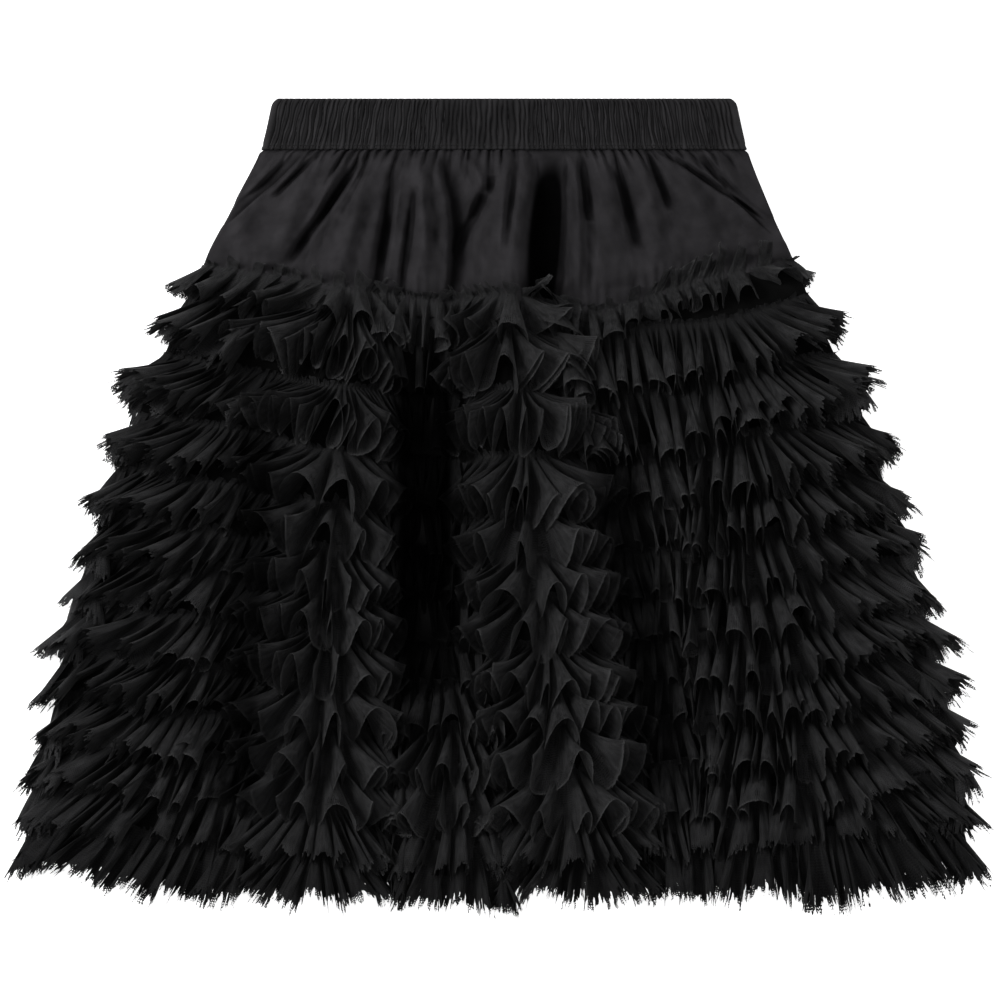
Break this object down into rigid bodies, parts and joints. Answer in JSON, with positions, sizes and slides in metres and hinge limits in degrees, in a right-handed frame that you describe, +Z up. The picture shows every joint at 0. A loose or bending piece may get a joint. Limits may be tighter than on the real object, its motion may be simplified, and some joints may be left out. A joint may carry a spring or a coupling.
{
  "type": "tulle skirt",
  "caption": "Black skirt laid flat on its back: ribbed elastic waistband and gathered plain yoke over a base skirt that carries overlapping tiers of gathered tulle.",
  "frame": {"origin": "middle of the skirt's bounding box, on the surface it lies on", "axes": "+X towards the side that is on the right in the picture, +Y from the hem to the waistband, +Z up from the surface, out of the skirt's front"},
  "size_m": [0.652, 0.5402, 0.0556],
  "materials": {
    "waistband": "black cotton gathered over elastic, matt with a faint sheen",
    "yoke": "black closely woven cotton with a soft sheen",
    "base_skirt": "black matt woven cloth",
    "tulle": "black fine nylon net, matt and slightly see-through at its edges"
  },
  "bodies": {
    "root": {"waistband": "waistband", "yoke": "yoke", "base_skirt": "base_skirt", "ruffle_01": "tulle", "ruffle_02": "tulle", "ruffle_03": "tulle", "ruffle_04": "tulle", "ruffle_05": "tulle", "ruffle_06": "tulle", "ruffle_07": "tulle", "ruffle_08": "tulle", "ruffle_09": "tulle", "ruffle_10": "tulle", "ruffle_11": "tulle", "ruffle_12": "tulle", "ruffle_13": "tulle"}
  },
  "joints": []
}
